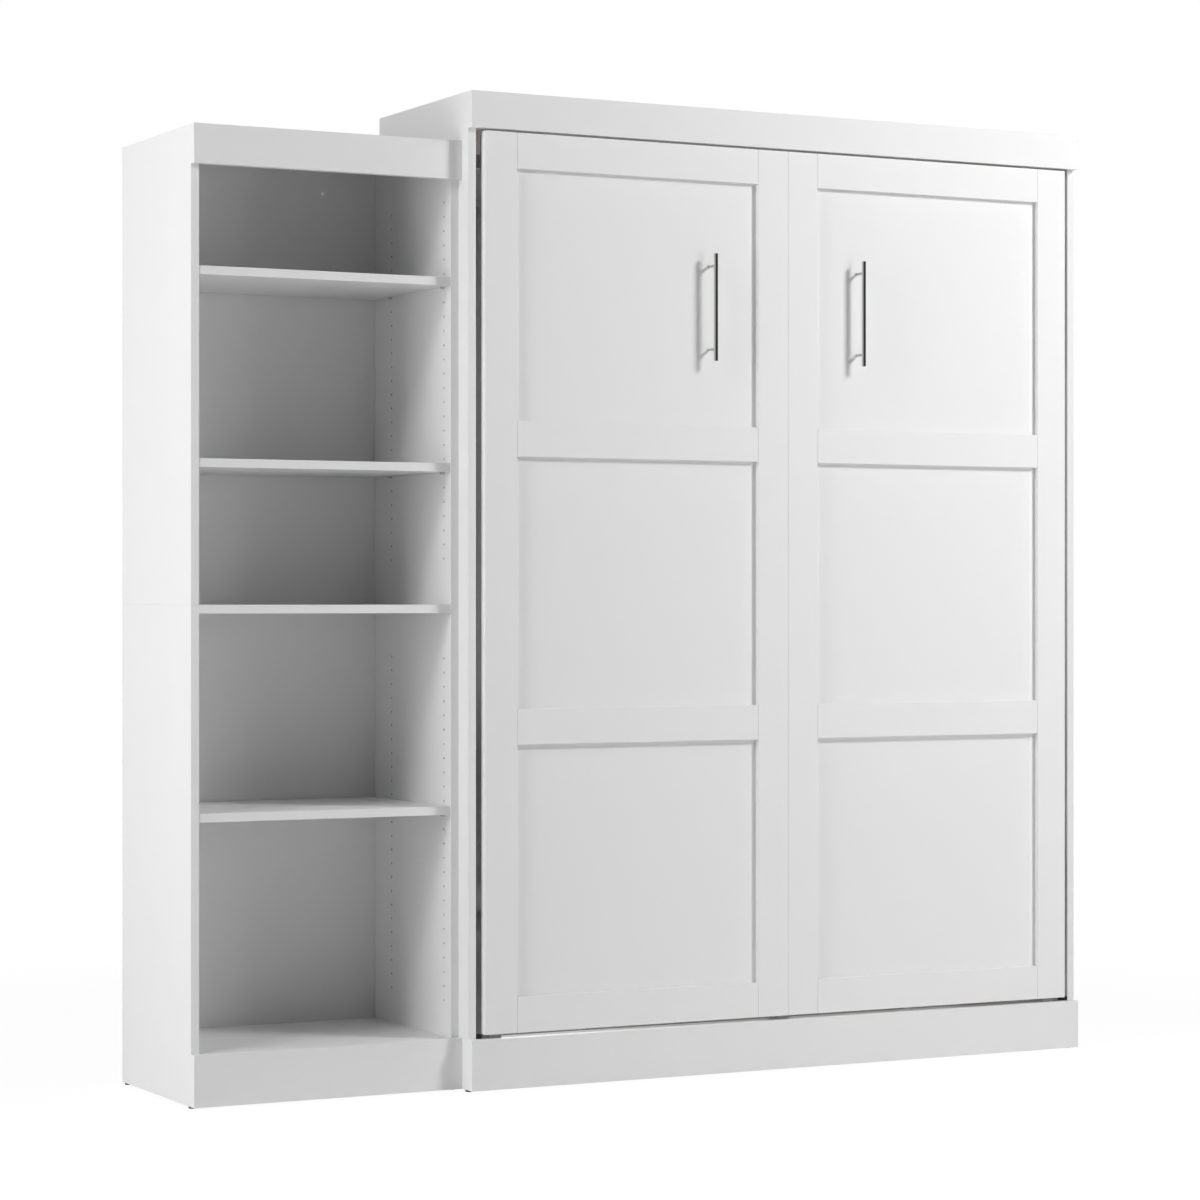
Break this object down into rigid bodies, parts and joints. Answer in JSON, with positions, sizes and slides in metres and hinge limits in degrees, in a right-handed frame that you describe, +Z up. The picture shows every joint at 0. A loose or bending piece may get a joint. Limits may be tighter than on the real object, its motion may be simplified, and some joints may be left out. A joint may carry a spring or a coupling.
{
  "type": "wall bed",
  "caption": "Vertical wall bed with a framed tilt-down face on a steel frame with slats, gas struts and folding legs, beside an open bookcase.",
  "frame": {"origin": "on the floor, in the middle of the whole object's footprint with the bed shut", "axes": "+X to the right seen from the front, +Y towards the wall, +Z up"},
  "size_m": [2.275, 0.526, 2.2307],
  "materials": {
    "board_white": "white melamine-faced board, fine embossed grain",
    "face_white": "white foil-faced board, smooth satin",
    "pull_steel": "satin nickel-plated steel",
    "frame_steel": "light grey powder coat",
    "plate_steel": "zinc-plated steel",
    "cylinder_black": "gloss black enamel",
    "rod_chrome": "polished hard chrome",
    "slat_birch": "lacquered birch ply",
    "black_plastic": "matte moulded",
    "bush_nylon": "natural nylon",
    "pin_nickel": "nickel-plated",
    "black_rubber": "matte",
    "grey_rubber": "matte"
  },
  "bodies": {
    "root": {"cabinet_side_left": "board_white", "cabinet_side_right": "board_white", "cabinet_top": "board_white", "cabinet_crown": "board_white", "cabinet_base_board": "board_white", "wall_rail_top": "board_white", "headboard_rail": "board_white", "wall_rail_bottom": "board_white", "case_lower_side_left": "board_white", "case_lower_side_right": "board_white", "case_upper_side_left": "board_white", "case_upper_side_right": "board_white", "case_bottom": "board_white", "case_middle": "board_white", "case_top": "board_white", "case_crown": "board_white", "case_base_board": "board_white", "case_lower_back": "board_white", "case_upper_back": "board_white", "shelf_pins": "pin_nickel", "glides": "black_plastic", "side_bumpers": "black_rubber", "closing_stops": "grey_rubber", "mount_plate_left": "plate_steel", "mount_plate_right": "plate_steel"},
    "bed": {"face_panel_left": "face_white", "face_panel_right": "face_white", "left_outer_stile": "face_white", "left_inner_stile": "face_white", "right_inner_stile": "face_white", "right_outer_stile": "face_white", "left_cross_rails": "face_white", "right_cross_rails": "face_white", "left_pull": "pull_steel", "right_pull": "pull_steel", "bed_rail_left": "frame_steel", "bed_rail_right": "frame_steel", "head_rail": "frame_steel", "foot_rail": "frame_steel", "centre_beam": "frame_steel", "slats": "slat_birch", "slat_holders": "black_plastic", "head_retainer": "frame_steel", "foot_retainer": "frame_steel", "hinge_bracket_left": "plate_steel", "hinge_bracket_right": "plate_steel", "pivot_bushes": "bush_nylon"},
    "leg_left": {"leg_left": "frame_steel", "leg_foot_left": "black_plastic"},
    "link_left": {"leg_link_left": "plate_steel"},
    "cylinder_left": {"strut_cylinder_left": "cylinder_black"},
    "rod_left": {"strut_rod_left": "rod_chrome"},
    "leg_right": {"leg_right": "frame_steel", "leg_foot_right": "black_plastic"},
    "link_right": {"leg_link_right": "plate_steel"},
    "cylinder_right": {"strut_cylinder_right": "cylinder_black"},
    "rod_right": {"strut_rod_right": "rod_chrome"},
    "top_shelf_board": {"top_shelf": "board_white"},
    "middle_shelf_board": {"middle_shelf": "board_white"},
    "lower_shelf_board": {"lower_shelf": "board_white"}
  },
  "joints": [
    {"name": "bed_hinge", "type": "hinge", "parent": "root", "child": "bed", "pos_m": [0.31805, -0.09502, 0.385], "axis": [1, 0, 0], "range_deg": [0, 90], "stiffness_Nm_per_rad": 180, "springref_deg": -28.65},
    {"name": "leg_left_fold", "type": "hinge", "parent": "bed", "child": "leg_left", "pos_m": [-0.4724, -0.16003, 1.995], "axis": [1, 0, 0], "range_deg": [-90.5, 0]},
    {"name": "link_left_swing", "type": "hinge", "parent": "root", "child": "link_left", "pos_m": [-0.4624, -0.12003, 0.36], "axis": [1, 0, 0], "range_deg": [0, 90.5]},
    {"name": "cylinder_left_swing", "type": "hinge", "parent": "root", "child": "cylinder_left", "pos_m": [-0.46195, -0.04503, 0.785], "axis": [1, 0, 0], "range_deg": [0, 21.12]},
    {"name": "rod_left_slide", "type": "slide", "parent": "cylinder_left", "child": "rod_left", "axis": [0, 0.0434, 0.9991], "range_m": [0, 0.18126]},
    {"name": "leg_right_fold", "type": "hinge", "parent": "bed", "child": "leg_right", "pos_m": [1.1085, -0.16003, 1.995], "axis": [1, 0, 0], "range_deg": [-90.5, 0]},
    {"name": "link_right_swing", "type": "hinge", "parent": "root", "child": "link_right", "pos_m": [1.0985, -0.12003, 0.36], "axis": [1, 0, 0], "range_deg": [0, 90.5]},
    {"name": "cylinder_right_swing", "type": "hinge", "parent": "root", "child": "cylinder_right", "pos_m": [1.09805, -0.04503, 0.785], "axis": [1, 0, 0], "range_deg": [0, 21.12]},
    {"name": "rod_right_slide", "type": "slide", "parent": "cylinder_right", "child": "rod_right", "axis": [0, 0.0434, 0.9991], "range_m": [0, 0.18126]},
    {"name": "top_shelf_slide", "type": "slide", "parent": "root", "child": "top_shelf_board", "axis": [0, -1, 0], "range_m": [0, 0.16]},
    {"name": "middle_shelf_slide", "type": "slide", "parent": "root", "child": "middle_shelf_board", "axis": [0, -1, 0], "range_m": [0, 0.16]},
    {"name": "lower_shelf_slide", "type": "slide", "parent": "root", "child": "lower_shelf_board", "axis": [0, -1, 0], "range_m": [0, 0.16]}
  ],
  "couplings": [
    {"joint": "leg_left_fold", "follows": "bed_hinge", "ratio": -1},
    {"joint": "link_left_swing", "follows": "bed_hinge", "ratio": 1},
    {"joint": "cylinder_left_swing", "follows": "bed_hinge", "ratio": 0.23249},
    {"joint": "rod_left_slide", "follows": "bed_hinge", "m_per_rad": 0.11476},
    {"joint": "leg_right_fold", "follows": "bed_hinge", "ratio": -1},
    {"joint": "link_right_swing", "follows": "bed_hinge", "ratio": 1},
    {"joint": "cylinder_right_swing", "follows": "bed_hinge", "ratio": 0.23249},
    {"joint": "rod_right_slide", "follows": "bed_hinge", "m_per_rad": 0.11476}
  ]
}
